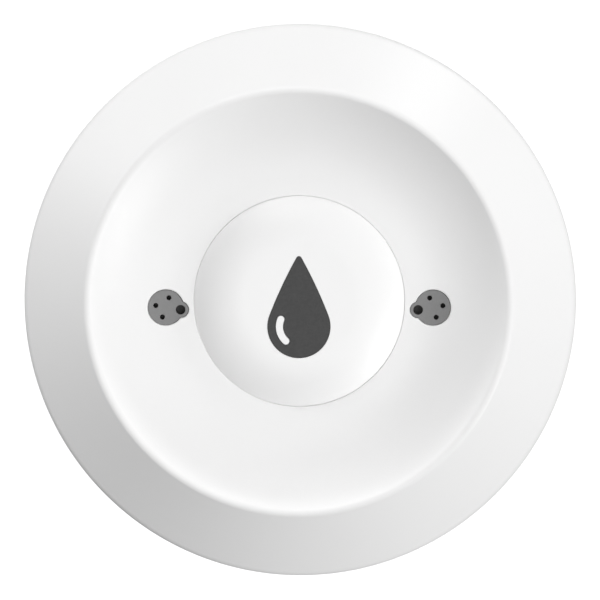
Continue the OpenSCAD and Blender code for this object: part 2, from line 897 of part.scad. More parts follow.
module radio_shield() {
    z = board_top + radio_t;
    can = [shield_l, radio_w - 2 * shield_margin, shield_h];
    inside = can - [2 * shield_wall, 2 * shield_wall, shield_wall - merge];
    color("silver") at_radio() translate([(radio_l - shield_l) / 2 - shield_margin, 0]) difference() {
        block(can, z);
        block(inside, z - merge);
    }
}

module controller_chip() {
    dimple = [0.6, 0.2];
    top = board_top + chip_h;
    color("black") translate([0, chip_edge + chip_w / 2 - board_r]) difference() {
        block([chip_w, chip_w, chip_h], board_top);
        translate([-chip_w / 3, chip_w / 3]) post(dimple[0], top - dimple[1], top + merge);
    }
}

module status_led() {
    pad = 0.6;
    color("ivory") at_port(1) {
        block([led_l, led_w, led_h / 2], board_top);
        block([led_l - 2 * pad, led_w - slip, led_h], board_top);
    }
}

module chip_capacitors() {
    color("tan") for (a = cap_angles)
        rotate([0, 0, a]) translate([board_r - cap_edge, 0]) block([cap_w, cap_l, cap_w], board_top);
}

base_tray();
rubber_feet();
housing_screws();
probe_screws();
probe_washers();
probe_standoffs();
battery_door();
door_seal();
coin_cell();
negative_contact();
positive_contact();
circuit_board();
switch_body();
switch_plunger();
piezo_buzzer();
radio_board();
radio_shield();
controller_chip();
status_led();
chip_capacitors();
housing_seal();
top_cover();
left_port_grille();
right_port_grille();
port_membranes();
button_diaphragm();
button_cap();
drop_mark();
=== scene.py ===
"""Water leak sensor: a white puck with a press button, sound ports, probes and a battery door.

Sizes of pieces are in millimetres, and angles are in degrees.
"""

import bmesh
import bpy
import numpy as np
from mathutils import Matrix, Vector


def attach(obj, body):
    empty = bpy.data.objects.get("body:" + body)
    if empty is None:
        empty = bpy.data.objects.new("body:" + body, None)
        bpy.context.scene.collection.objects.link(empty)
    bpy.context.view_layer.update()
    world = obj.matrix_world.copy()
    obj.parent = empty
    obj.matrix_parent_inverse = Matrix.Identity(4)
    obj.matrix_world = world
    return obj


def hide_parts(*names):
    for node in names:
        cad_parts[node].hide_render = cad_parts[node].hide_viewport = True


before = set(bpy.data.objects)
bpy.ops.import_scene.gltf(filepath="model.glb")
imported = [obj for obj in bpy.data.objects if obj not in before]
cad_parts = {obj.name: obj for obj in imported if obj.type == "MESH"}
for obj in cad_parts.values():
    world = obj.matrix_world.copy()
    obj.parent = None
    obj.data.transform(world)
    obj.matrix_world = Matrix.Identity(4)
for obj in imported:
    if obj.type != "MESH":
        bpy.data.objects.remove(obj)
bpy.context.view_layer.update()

# Base tray: the lower half of the housing, one moulding in white ABS with ribs inside. Four seats
# take the feet over the housing screws, four take the probe heads, and the hatch in the middle is
# for the battery door. The lip goes up inside the cover, and a shadow groove runs round the joint.
mm = 0.001
body_r = 30.0
base_z = 1.0
base_round = 2.0
floor_z = 3.0
part_z = 6.0
groove_z = 5.5
groove_r = 29.5
lip_r = 28.05
lip_in_r = 26.25
lip_z = 8.6
hatch_r = 15.7
ledge_r = 11.9
ledge_z = 4.3
bore_r = 13.3
collar_r = 17.3
collar_z = 5.9
lug_angle = 30
lug_half = 13
lug_play = 1
door_twist = 45
seal_groove_r = 27.1
seal_groove_z = (6.65, 7.95)
board_under = 7.5
seat_circle_r = 23.0
seat_band = (18.2, 27.8)
seat_steps = 10
foot_seat_r = 4.05
foot_seat_z = 1.5
screw_head_r = 2.2
screw_head_z = 3.6
screw_hole_r = 1.3
base_boss_r = 2.8
probe_seat_r = 2.7
probe_seat_z = 1.9
probe_hole_r = 1.2
rib_half_w = 0.5
rib_h = 1.2
merge = 0.5
sector = 45
soft_edge = 0.15
round_steps = 6
mark_circle_r = 16.95
mark_r = 0.5
mark_rise = 0.15
mark_root = 0.3
mark_steps = 6
closed_mark_angle = 67.5
open_mark_angle = 22.5
turn_steps = 120
weld_per_mm = 1e4
sharp_edge = 40
whole_degrees = np.arange(361)
full_turn = np.linspace(0, 360, turn_steps + 1)
quarter_turn = np.linspace(0, np.pi / 2, round_steps + 1)


def shares(steps):
    """Even shares of the way, from 0 to 1."""
    return np.linspace(0, 1, steps + 1)


def line(start, end, steps):
    """Points from start to end, closer near both ends: the share of the way to point k is
    (1 - cos(pi k / steps)) / 2."""
    share = (1 - np.cos(np.linspace(0, np.pi, steps + 1)))[:, None] / 2
    return np.asarray(start) * (1 - share) + np.asarray(end) * share


def arc(centre, radius, first, last, steps):
    """Points of a circle between two angles: centre + radius (cos a, sin a)."""
    a = np.radians(np.linspace(first, last, steps + 1))
    return np.stack([centre[0] + radius * np.cos(a), centre[1] + radius * np.sin(a)], axis=1)


def on_circle(radius, angle):
    """Plan point on a circle round the axis."""
    return radius * np.array([np.cos(np.radians(angle)), np.sin(np.radians(angle))])


def shift_to(radius, angle):
    """Shift of a piece from the axis to its place on a circle."""
    return np.append(on_circle(radius, angle), 0)


def length(vectors):
    """Length of each plane vector: the root of x squared + y squared."""
    return np.linalg.norm(vectors, axis=1)


def points_in(parts):
    """Number of points in the parts of a profile."""
    return sum(len(part) for part in parts)


def at_each(parts, angles):
    """The parts of a profile in one row, and that row once for each angle."""
    return np.repeat(np.concatenate(parts)[None], len(angles), axis=0)


def in_thirds(angles, first, last):
    """True for angles from first to last, and the same in both other thirds of a turn."""
    return (angles - first) % 120 <= last - first


def spin(profile, angles):
    """Profile points (r, z) at each angle: x = r cos a, y = r sin a, z stays. The profile is the
    same at all angles or has one row for each."""
    a = np.radians(angles)[:, None]
    r, z = np.moveaxis(np.asarray(profile), -1, 0)
    return np.stack([r * np.cos(a), r * np.sin(a), z + 0 * a], axis=2)


def all_cells(grid):
    """True for each cell between the points of a grid."""
    return np.ones((grid.shape[0] - 1, grid.shape[1] - 1), dtype=bool)


def patch(grid, keep=None):
    """Corners of the quads of a point grid. Cells that keep marks false stay open."""
    cells = np.stack([grid[:-1, :-1], grid[1:, :-1], grid[1:, 1:], grid[:-1, 1:]], axis=2)
    return cells.reshape(-1, 4, 3) if keep is None else cells[keep]


def tower(loops):
    """Quads between closed loops with the same number of points, each loop joined to the next."""
    loops = np.asarray(loops)
    return patch(np.concatenate([loops, loops[:, :1]], axis=1))


def window(grid, i0, i1, j0, j1):
    """Edge of a block of grid cells as one closed loop: first along j0, and back along j1."""
    step = 1 if j1 > j0 else -1
    return np.concatenate(
        [grid[i0:i1, j0], grid[i1, j0:j1:step], grid[i1:i0:-1, j1], grid[i0, j1:j0:-step]]
    )


def bar(sections):
    """Closed bar through sections of four corners each: its four sides and two flat ends."""
    ends = sections[[0, -1]][:, [0, 1, 3, 2]].reshape(-1, 2, 2, 3)
    return np.concatenate([tower(sections)] + [patch(end) for end in ends])


def raise_to(plan, z):
    """Points of a plan loop at height z, which is one number or one for each point."""
    return np.concatenate([plan, np.broadcast_to(z, len(plan))[:, None]], axis=1)


def rings(rows, away, middle=0):
    """One loop for each row (r, z): points at r times each direction from middle, at height z."""
    return [raise_to(middle + r * away, z) for r, z in rows]


def between(first, last, steps):
    """Plan loops on the straight way from one loop to another: first (1 - s) + last s."""
    return [first * (1 - s) + last * s for s in shares(steps)]


def make_piece(name, patches, material, body, slot, *nodes):
    """One mesh in metres from quad corners in millimetres. Corners that coincide become one point,
    a quad that is pinched at a pole becomes a triangle, and the faces of each closed shell turn
    outwards."""
    corners = np.concatenate(patches).reshape(-1, 3)
    keys = np.round(corners * weld_per_mm).astype(np.int64)
    _, first, index = np.unique(keys, axis=0, return_index=True, return_inverse=True)
    faces = index.reshape(-1, 4)
    same = faces == np.roll(faces, -1, axis=1)
    pinched = same.sum(axis=1) == 1
    turn = same[pinched].argmax(axis=1)
    triangles = np.take_along_axis(faces[pinched], (turn[:, None] + np.arange(1, 4)) % 4, axis=1)
    quads = faces[~same.any(axis=1)]
    mesh = bpy.data.meshes.new(name)
    mesh.from_pydata((corners[first] * mm).tolist(), [], quads.tolist() + triangles.tolist())
    shell = bmesh.new()
    shell.from_mesh(mesh)
    bmesh.ops.recalc_face_normals(shell, faces=shell.faces)
    shell.to_mesh(mesh)
    shell.free()
    mesh.polygons.foreach_set("use_smooth", np.ones(len(mesh.polygons), dtype=bool))
    mesh.set_sharp_from_angle(angle=np.radians(sharp_edge))
    mesh.materials.append(material)
    piece = bpy.data.objects.new(name, mesh)
    bpy.context.collection.objects.link(piece)
    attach(piece, body)
    if nodes:
        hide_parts(*nodes)
    return piece


def add_node(tree, kind, sockets=(), **settings):
    """A node with its settings. Each named socket takes a value, or a link if it gets an output."""
    made = tree.nodes.new(kind)
    for key, value in settings.items():
        setattr(made, key, value)
    for key, value in dict(sockets).items():
        if isinstance(value, bpy.types.NodeSocket):
            tree.links.new(value, made.inputs[key])
        else:
            made.inputs[key].default_value = value
    return made


def millimetres(tree, scale=(1.0, 1.0, 1.0)):
    """Object coordinates in millimetres, stretched by scale."""
    place = add_node(tree, "ShaderNodeTexCoord").outputs["Object"]
    scale = [s / mm for s in scale]
    return add_node(tree, "ShaderNodeMapping", {"Vector": place, "Scale": scale}).outputs["Vector"]


def stretch(tree, value, span, low=0.0, high=1.0):
    """Goes from low to high as value goes through span, and stays there outside it."""
    limits = dict(zip(("From Min", "From Max", "To Min", "To Max"), (*span, low, high)))
    return add_node(tree, "ShaderNodeMapRange", {"Value": value, **limits}).outputs[0]


def make_group(name, *extra):
    """A shader node group for a finish. Two colours, two roughness values and the extra values go
    in, and colour, roughness and height come out. Gives its tree and what goes in."""
    tree = bpy.data.node_groups.new(name, "ShaderNodeTree")
    sockets = (
        ("INPUT", "Color", ("Light", "Dark")),
        ("INPUT", "Float", ("Gloss", "Matt", *extra)),
        ("OUTPUT", "Color", ("Color",)),
        ("OUTPUT", "Float", ("Roughness", "Height")),
    )
    for in_out, kind, names in sockets:
        for socket in names:
            tree.interface.new_socket(socket, in_out=in_out, socket_type="NodeSocket" + kind)
    return tree, tree.nodes.new("NodeGroupInput").outputs


noise_span = (0.3, 0.7)
usual_ends = ("Light", "Dark", "Gloss", "Matt")


def close_group(tree, inputs, colour_by, rough_by, height, ends=usual_ends, span=noise_span):
    """Links what comes out of a finish: the colour goes from the first to the second end with
    colour_by, and the roughness from the third to the fourth as rough_by goes through span."""
    first, second, low, high = [inputs[end] for end in ends]
    colour = add_node(
        tree, "ShaderNodeMix", {0: colour_by, 6: first, 7: second}, data_type="RGBA"
    ).outputs[2]
    rough = stretch(tree, rough_by, span, low, high)
    outputs = tree.nodes.new("NodeGroupOutput").inputs
    for made, socket in ((colour, "Color"), (rough, "Roughness"), (height, "Height")):
        tree.links.new(made, outputs[socket])


# Moulded plastic: a fine spark-eroded grain on the surface, and broad faint clouds in the colour
cloud_share = 0.6
grain_group, grain_in = make_group("moulded_grain", "Grain per mm")
grain_place = millimetres(grain_group)
fine_grain = add_node(
    grain_group, "ShaderNodeTexNoise",
    {"Vector": grain_place, "Scale": grain_in["Grain per mm"], "Detail": 3.0, "Roughness": 0.6},
).outputs[0]
broad_cloud = add_node(
    grain_group, "ShaderNodeTexNoise", {"Vector": grain_place, "Scale": 0.09, "Detail": 2.0}
).outputs[0]
grain_mix = add_node(
    grain_group, "ShaderNodeMix", {0: cloud_share, 2: fine_grain, 3: broad_cloud}
).outputs[0]
close_group(grain_group, grain_in, grain_mix, fine_grain, fine_grain)


def finish_with(name, group, bump, **values):
    """A material whose Principled shader takes colour, roughness and bump from a group. Each value
    goes to the group's input of that name, or else, as a constant, straight to the shader's."""
    material = bpy.data.materials.new(name)
    material.use_nodes = True
    tree = material.node_tree
    shader = tree.nodes["Principled BSDF"]
    surface = add_node(tree, "ShaderNodeGroup", node_tree=group)
    for key, value in values.items():
        socket = key.replace("_", " ")
        taker = surface if socket in surface.inputs else shader
        taker.inputs[socket].default_value = value
    relief = add_node(
        tree, "ShaderNodeBump",
        {"Height": surface.outputs["Height"], "Distance": bump * mm, "Strength": 1.0},
    )
    tree.links.new(surface.outputs["Color"], shader.inputs["Base Color"])
    tree.links.new(surface.outputs["Roughness"], shader.inputs["Roughness"])
    tree.links.new(relief.outputs[0], shader.inputs["Normal"])
    return material


def grey(light, warm=0.0):
    """A neutral colour of that lightness, a little warmer or cooler."""
    return (light + warm, light, light - warm, 1.0)


white_base = finish_with(
    "white_base_plastic", grain_group, bump=0.012,
    Light=grey(0.87), Dark=grey(0.83, 0.002), Grain_per_mm=5.0, Gloss=0.4, Matt=0.58,
)
sector_angles = whole_degrees - sector // 2
base_wall = [
    arc((hatch_r + soft_edge, base_z + soft_edge), soft_edge, 180, 270, round_steps),
    line((hatch_r + soft_edge, base_z), (seat_band[0], base_z), steps=5),
]
seat_row = points_in(base_wall) - 1
base_wall += [
    line((seat_band[0], base_z), (seat_band[1], base_z), seat_steps)[1:],
    arc((body_r - base_round, base_z + base_round), base_round, -90, 0, steps=24),
    line((body_r, base_z + base_round), (body_r, groove_z - soft_edge), steps=6),
    arc((body_r - soft_edge, groove_z - soft_edge), soft_edge, 0, 90, round_steps),
    [
        (groove_r, groove_z), (groove_r, part_z), (lip_r, part_z),
        (lip_r, seal_groove_z[0]), (seal_groove_r, seal_groove_z[0]),
        (seal_groove_r, seal_groove_z[1]), (lip_r, seal_groove_z[1]),
        (lip_r, lip_z), (lip_in_r, lip_z),
    ],
]
floor_row = points_in(base_wall)
base_wall += [
    line((lip_in_r, floor_z), (collar_r, floor_z), seat_steps),
    [(collar_r, collar_z), (bore_r, collar_z)],
]
track_row = points_in(base_wall)
base_wall.append([
    (ledge_r, collar_z), (ledge_r, ledge_z), (ledge_r, ledge_z), (ledge_r, floor_z),
    (bore_r, floor_z), (hatch_r, floor_z), (hatch_r, base_z + soft_edge),
])
track_start = lug_angle - door_twist - lug_half - lug_play
entry_end = lug_angle - door_twist + lug_half + lug_play
track_end = lug_angle + lug_half + lug_play
in_track = in_thirds(sector_angles, track_start, track_end)
in_entry = in_thirds(sector_angles, track_start, entry_end)
base_rows = at_each(base_wall, sector_angles)
base_rows[in_track, track_row:track_row + 2, 0] = bore_r
base_rows[in_entry, track_row + 2:track_row + 4, 0] = bore_r
base_grid = spin(base_rows, sector_angles)
base_keep = all_cells(base_grid)
base_keep[:, seat_row:seat_row + seat_steps] = False
base_keep[:, floor_row:floor_row + seat_steps] = False
screw_seat = [
    (foot_seat_r, foot_seat_z), (screw_head_r, foot_seat_z), (screw_head_r, screw_head_z),
    (screw_hole_r, screw_head_z), (screw_hole_r, board_under), (base_boss_r, board_under),
    (base_boss_r, floor_z),
]
probe_seat = [(probe_seat_r, probe_seat_z), (probe_hole_r, probe_seat_z), (probe_hole_r, floor_z)]


def seat_tower(loop, floor_loop, middle, seat):
    """Flat sheet from a loop to a round hole about middle, a rounded edge, the steps of the seat as
    points (r, z), and the inner floor from there out to another loop."""
    away = loop[:, :2] - middle
    away /= length(away)[:, None]
    radius = seat[0][0]
    rim = middle + (radius + soft_edge) * away
    edge_r = radius + soft_edge * (1 - np.sin(quarter_turn))
    edge_z = base_z + soft_edge * (1 - np.cos(quarter_turn))
    rows = np.concatenate([np.stack([edge_r, edge_z], axis=1), seat])
    foot = middle + seat[-1][0] * away
    loops = [raise_to(plan, base_z) for plan in between(loop[:, :2], rim, steps=8)]
    loops += rings(rows, away, middle)
    loops += [raise_to(plan, floor_z) for plan in between(foot, floor_loop[:, :2], steps=6)[1:]]
    return tower(loops)


def rib(angle, reach, low, high):
    """Straight rib along a radius: four corners at each distance of reach, from low up to high."""
    along, across = on_circle(1, angle), on_circle(rib_half_w, angle + 90)
    plan = reach[:, None, None] * along + np.array([-1, 1, 1, -1])[:, None] * across
    z = np.stack(np.broadcast_arrays(low, low, high, high, reach)[:4], axis=1)
    return bar(np.concatenate([plan, z[:, :, None]], axis=2))


def raised_mark(inner_r, circle_r, angle):
    """Low round mark on the underside with half an ellipse as its crown: a dot, or a ring if
    inner_r isn't 0."""
    crown_a = np.linspace(np.pi, 0, 2 * mark_steps + 1)
    middle_r, half_w = ((inner_r + mark_r) / 2, (mark_r - inner_r) / 2) if inner_r else (0, mark_r)
    crown_row = np.stack(
        [middle_r + half_w * np.cos(crown_a), base_z - mark_rise * np.sin(crown_a)], axis=1
    )
    if not inner_r:
        crown_row = crown_row[mark_steps:]
    root = base_z + mark_root
    foot_row = [(crown_row[-1][0], root), (crown_row[0][0], root), tuple(crown_row[0])]
    mark_grid = spin(np.concatenate([crown_row, foot_row]), full_turn)
    return patch(mark_grid + shift_to(circle_r, angle))


base_patches = [patch(base_grid, base_keep)]
base_rib_reach = np.array([collar_r - merge, lip_in_r + merge])
for k in range(360 // sector):
    turn = (k * sector, (k + 1) * sector)
    seat_loop = window(base_grid, *turn, seat_row, seat_row + seat_steps)
    floor_loop = window(base_grid, *turn, floor_row + seat_steps, floor_row)
    seat = screw_seat if k % 2 else probe_seat
    base_patches.append(seat_tower(seat_loop, floor_loop, on_circle(seat_circle_r, turn[0]), seat))
    base_patches.append(rib((k + 0.5) * sector, base_rib_reach, floor_z - merge, floor_z + rib_h))
base_patches.append(raised_mark(0, mark_circle_r, closed_mark_angle))
base_patches.append(raised_mark(mark_r / 2, mark_circle_r, open_mark_angle))
make_piece("base_shell", base_patches, white_base, "root", "white_base", "base_tray")

# Rubber feet: four soft dark discs pressed into the base, over the housing screws. They lift the
# base by one millimetre, so that water can run under the probes.
foot_r = 4.0
foot_round = 0.4
foot_top = 1.5
foot_dish_r = 2.6
foot_dish = 0.15
foot_angles = range(45, 360, 90)
dark_rubber = finish_with(
    "dark_rubber", grain_group, bump=0.02,
    Light=grey(0.05), Dark=grey(0.025), Grain_per_mm=3.5, Gloss=0.7, Matt=0.95,
)
foot_profile = np.concatenate([
    line((0, foot_dish), (foot_dish_r, foot_dish), steps=6),
    line((foot_dish_r, foot_dish), (foot_dish_r + foot_dish, 0), steps=2)[1:],
    line((foot_dish_r + foot_dish, 0), (foot_r - foot_round, 0), steps=3)[1:],
    arc((foot_r - foot_round, foot_round), foot_round, -90, 0, round_steps),
    line((foot_r, foot_round), (foot_r, foot_top), steps=4),
    line((foot_r, foot_top), (0, foot_top), steps=3),
])
foot_grid = spin(foot_profile, full_turn)
make_piece(
    "feet", [patch(foot_grid + shift_to(seat_circle_r, angle)) for angle in foot_angles],
    dark_rubber, "root", "rubber", "rubber_feet",
)

# Probe screws: four pan-head screws, gold plated against corrosion. A drop of water between two
# heads closes the circuit. A rubber washer under each head seals its seat in the base.
probe_tip = 0.35
probe_round = 0.5
probe_head_r = 2.5
probe_head_top = 1.4
probe_shaft_r = 1.0
probe_shaft_top = 6.1
cross_l = 1.2
cross_w = 0.3
cross_floor = 0.85
cross_draft = 0.85
cross_step = 3
quarters = range(0, 360, 90)


def calculate(tree, operation, *values):
    """Result of one arithmetic node."""
    return add_node(tree, "ShaderNodeMath", dict(enumerate(values)), operation=operation).outputs[0]


# Turned and plated metal: fine rings from the lathe about the piece's own axis, and some tarnish
ring_rate = 55.0
turned_group, turned_in = make_group("turned_metal")
from_axis = add_node(
    turned_group, "ShaderNodeAttribute", attribute_name="from_axis"
).outputs["Fac"]
ring_phase = calculate(turned_group, "MULTIPLY", from_axis, ring_rate)
lathe_rings = calculate(turned_group, "SINE", ring_phase)
tarnish = add_node(
    turned_group, "ShaderNodeTexNoise",
    {"Vector": millimetres(turned_group), "Scale": 1.1, "Detail": 4.0, "Roughness": 0.65},
).outputs[0]
close_group(turned_group, turned_in, tarnish, tarnish, lathe_rings)
gold_plate = finish_with(
    "gold_plate", turned_group, bump=0.002, Metallic=1.0,
    Light=(0.95, 0.72, 0.33, 1), Dark=(0.80, 0.55, 0.20, 1), Gloss=0.2, Matt=0.34,
)
cross_corners = np.array(
    [0, np.degrees(np.arctan2(cross_w, cross_l)), 45, np.degrees(np.arctan2(cross_l, cross_w))]
)
cross_angles = np.unique(
    np.concatenate([np.arange(0, 360, cross_step)] + [cross_corners + angle for angle in quarters])
)
cross_away = on_circle(1, cross_angles).T


def box_exit(away, half_x, half_y):
    """Distance from a rectangle's middle to its edge in each direction: the nearer of two sides."""
    with np.errstate(divide="ignore"):
        return np.minimum(half_x / np.abs(away[:, 0]), half_y / np.abs(away[:, 1]))


cross_bars = [box_exit(cross_away, cross_l, cross_w), box_exit(cross_away, cross_w, cross_l)]
cross = np.maximum(*cross_bars)[:, None] * cross_away
probe_flat_r = probe_head_r - probe_round
head_sides = np.concatenate([
    arc((probe_flat_r, probe_tip + probe_round), probe_round, -90, 0, steps=8),
    [
        (probe_head_r, probe_head_top), (probe_shaft_r, probe_head_top),
        (probe_shaft_r, probe_shaft_top), (0, probe_shaft_top),
    ],
])
head_flat = between(cross, probe_flat_r * cross_away, steps=4)
head_loops = [raise_to(cross * s, cross_floor) for s in (0, cross_draft)]
head_loops += [raise_to(plan, probe_tip) for plan in head_flat]
head_loops += rings(head_sides, cross_away)
probe_places = np.array([shift_to(seat_circle_r, angle) for angle in quarters])
probes = make_piece(
    "probe_heads", [tower(np.array(head_loops) + place) for place in probe_places],
    gold_plate, "root", "gold_plate", "probe_screws",
)
probe_points = np.empty(3 * len(probes.data.vertices), dtype=np.float32)
probes.data.vertices.foreach_get("co", probe_points)
probe_plan = probe_points.reshape(-1, 1, 3)[:, :, :2] / mm
axis_gap = np.linalg.norm(probe_plan - probe_places[:, :2], axis=2).min(axis=1)
probes.data.attributes.new("from_axis", "FLOAT", "POINT").data.foreach_set("value", axis_gap)

# Battery door: a disc in white ABS that closes the hatch with a short turn of a coin in its slot.
# Three lugs on its cup lock behind a ledge in the base, and a flat rubber ring in a groove of its
# flange keeps the water out.
door_r = 15.5
door_round = 0.4
door_z = 2.9
door_groove_r = (13.9, 14.9)
door_groove_z = 2.1
door_mark_circle_r = 14.3
lug_r = 13.1
lug_z = (4.4, 5.35)
lug_root_r = 11.4
lug_steps = 13
thirds = (0, 120, 240)
plug_r = 11.7
cup_r = 10.3
cup_top = 5.4
slot_half_w = 1.0
slot_depth = 1.1
slot_floor_r = 22.0
slot_steps = (60, 8)
slot_half_l = np.sqrt(slot_floor_r**2 - (slot_floor_r - slot_depth) ** 2)
slot_x = np.linspace(slot_half_l, -slot_half_l, slot_steps[0] + 1)
slot_y = np.linspace(-slot_half_w, slot_half_w, slot_steps[1] + 1)


def slot_floor(x):
    """Height of the coin slot's floor: an arc of a coin's edge, deepest in the middle."""
    inside = np.minimum(np.abs(x), slot_half_l)
    return base_z + slot_depth - slot_floor_r + np.sqrt(slot_floor_r**2 - inside**2)


slot_grid = np.stack(
    np.meshgrid(slot_x, slot_y, indexing="ij") + [slot_floor(slot_x)[:, None] + 0 * slot_y], axis=2
)
slot_edge = window(slot_grid, 0, slot_steps[0], slot_steps[1], 0)
slot_loop = slot_edge[:, :2]
slot_step = length(np.roll(slot_loop, -1, axis=0) - slot_loop)
slot_way = 2 * np.pi * (np.cumsum(slot_step) - slot_step) / slot_step.sum()
slot_turn = np.arctan2(slot_half_w, slot_half_l) + slot_way
door_away = np.stack([np.cos(slot_turn), np.sin(slot_turn)], axis=1)
door_flat_r = door_r - door_round
door_sides = np.concatenate([
    arc((door_flat_r, base_z + door_round), door_round, -90, 0, steps=8),
    [
        (door_r, door_z), (door_groove_r[1], door_z), (door_groove_r[1], door_groove_z),
        (door_groove_r[0], door_groove_z), (door_groove_r[0], door_z), (plug_r, door_z),
        (plug_r, cup_top), (cup_r, cup_top), (cup_r, door_z), (0, door_z),
    ],
])
door_flat = between(slot_loop, door_flat_r * door_away, steps=16)
door_loops = [slot_edge] + [raise_to(plan, base_z) for plan in door_flat]
door_loops += rings(door_sides, door_away)
door_mark = raised_mark(0, door_mark_circle_r, closed_mark_angle)
lug_section = [
    (lug_root_r, lug_z[0]), (lug_r, lug_z[0]), (lug_r, lug_z[1]), (lug_root_r, lug_z[1]),
]
lug_turn = np.linspace(lug_angle - lug_half, lug_angle + lug_half, lug_steps + 1)
lugs = [bar(spin(lug_section, lug_turn + third)) for third in thirds]
make_piece(
    "door_disc", [tower(door_loops), patch(slot_grid), door_mark] + lugs,
    white_base, "door", "white_base", "battery_door",
)

# Top cover: the upper half of the housing, one moulding in white ABS with a fine satin grain. A
# straight flank rises to a crisp rim, a dish falls inwards to a flat ring, and a well in the middle
# guides the button. Two lobed openings in the dish let the sound out.
wall = 1.8
inner_r = body_r - wall
rim_c = np.array([22.8, 18.3])
rim_round = 0.7
shoulder_z = 12.5
shoulder_round = 1.5
dish_z = 15.7
land_r = 13.3
land_edge = 0.3
opening_r = 11.42
opening_edge = 0.03
well_r = 11.85
shelf_r = 7.6
shelf_z = 12.6
shelf_under = 11.2
under_rim_r = 22.717
under_steps = 7
port_c = np.array([14.45, -0.7])
port_disc_r = 1.95
port_lobe = np.array([-1.6, -0.25])
port_lobe_r = 0.9
port_edge = 0.12
port_seat_z = 13.5
port_boss_r = 2.4
port_land = 0.03
port_block = (-15, 10)
port_reach_r = 17.8
port_rows = (12, 5)
snap_angle = 30
snap_window_half = 7
snap_window_r = 11.95
snap_window_z = (12.8, 14.3)
snap_back_half = 13
snap_back_r = 12.95
snap_back_z = 11.4
cover_start = -90
cover_boss_r = 2.5
cover_boss_z = 9.1
cover_boss_step = 5
cover_hole_r = 1.15
cover_hole_z = 13.3
cover_rib_r = 25.0
cover_rib_z = 9.3
cover_rib_steps = 6
white_shell = finish_with(
    "white_shell_plastic", grain_group, bump=0.006,
    Light=grey(0.91), Dark=grey(0.88, 0.002), Grain_per_mm=6.0, Gloss=0.38, Matt=0.54,
)


def heading(v):
    """Angle of a plane vector."""
    return np.degrees(np.arctan2(v[1], v[0]))


flank_run = np.array([body_r, shoulder_z]) - rim_c
flank_tilt = np.arcsin(rim_round / np.linalg.norm(flank_run)) - np.radians(heading(flank_run))
flank_out = np.array([np.sin(flank_tilt), np.cos(flank_tilt)])
flank_top = rim_c + rim_round * flank_out
flank_angle = 90 - np.degrees(flank_tilt)
dish_run = rim_c[0] - land_r
dish_fall = rim_c[1] - dish_z
dish_r = (dish_run**2 + dish_fall**2 - rim_round**2) / (2 * (dish_fall + rim_round))
dish_c = np.array([land_r, dish_z + dish_r])
rim_angle = heading(dish_c - rim_c)


def flank_height(r, inside):
    """Height at radius r of a line parallel to the flank, that far inside it."""
    return flank_top[1] - (inside + (r - flank_top[0]) * flank_out[0]) / flank_out[1]


def bowl(r, depth):
    """Height at radius r of a surface that far below the dish: level at the land, then an arc."""
    out = np.maximum(r - land_r, 0)
    radius = dish_r + depth
    return dish_c[1] - np.sqrt(radius**2 - out**2)


def bowl_row(radii, depth):
    """Profile points of the dish at those radii."""
    return np.stack([radii, bowl(radii, depth)], axis=1)


shoulder_r = body_r - shoulder_round
shoulder_c = np.array([shoulder_r, flank_height(shoulder_r, shoulder_round)])
dish_edge_r = rim_c[0] + rim_round * np.cos(np.radians(rim_angle))
dish_turns = np.degrees(np.arcsin((np.array([dish_edge_r, port_reach_r]) - land_r) / dish_r)) - 90
port_out = np.linspace(port_reach_r, land_r, port_rows[0] + 1)
port_in = np.linspace(land_r, opening_r + land_edge, port_rows[1] + 1)
cover_wall = [
    line((inner_r, part_z), (body_r - soft_edge, part_z), steps=3),
    arc((body_r - soft_edge, part_z + soft_edge), soft_edge, -90, 0, round_steps),
    line((body_r, part_z + soft_edge), (body_r, shoulder_c[1]), steps=8),
    arc(shoulder_c, shoulder_round, 0, flank_angle, steps=16),
    line(shoulder_c + shoulder_round * flank_out, flank_top, steps=16),
    arc(rim_c, rim_round, flank_angle, rim_angle, steps=20),
    arc(dish_c, dish_r, *dish_turns, steps=16),
]
port_row = points_in(cover_wall) - 1
cover_wall += [
    bowl_row(port_out, 0)[1:],
    bowl_row(port_in, 0)[1:],
    arc((opening_r + opening_edge, dish_z - opening_edge), opening_edge, 90, 180, round_steps),
]
window_row = points_in(cover_wall)
cover_wall.append([
    (opening_r, snap_window_z[1]), (opening_r, snap_window_z[1]),
    (opening_r, snap_window_z[0]), (opening_r, snap_window_z[0]),
    (opening_r, shelf_z), (shelf_r, shelf_z), (shelf_r, shelf_under), (well_r, shelf_under),
    (well_r, snap_back_z), (well_r, snap_back_z),
])
under_row = points_in(cover_wall)
cover_wall += [
    bowl_row(np.linspace(well_r, land_r, port_rows[1] + 1), wall),
    bowl_row(port_out[::-1], wall)[1:],
    bowl_row(np.linspace(port_reach_r, under_rim_r, under_steps + 1), wall)[1:],
    [(inner_r, flank_height(inner_r, wall)), (inner_r, part_z)],
]
cover_angles = whole_degrees + cover_start
cover_rows = at_each(cover_wall, cover_angles)
in_window = in_thirds(cover_angles, snap_angle - snap_window_half, snap_angle + snap_window_half)
cover_rows[in_window, window_row + 1:window_row + 3, 0] = snap_window_r
in_back = in_thirds(cover_angles, snap_angle - snap_back_half, snap_angle + snap_back_half)
cover_rows[in_back, under_row - 1, 0] = snap_back_r
back_to_land = np.linspace(snap_back_r, land_r, port_rows[1] + 1)
cover_rows[in_back, under_row:under_row + port_rows[1] + 1, 0] = back_to_land
cover_grid = spin(cover_rows, cover_angles)
cover_keep = all_cells(cover_grid)


def ray_exit(away, centre, radius):
    """Distance from the origin to the far side of a circle in each direction, 0 where it misses."""
    along = away @ centre
    inside = along**2 - centre @ centre + radius**2
    return np.where(inside >= 0, along + np.sqrt(np.maximum(inside, 0)), 0)


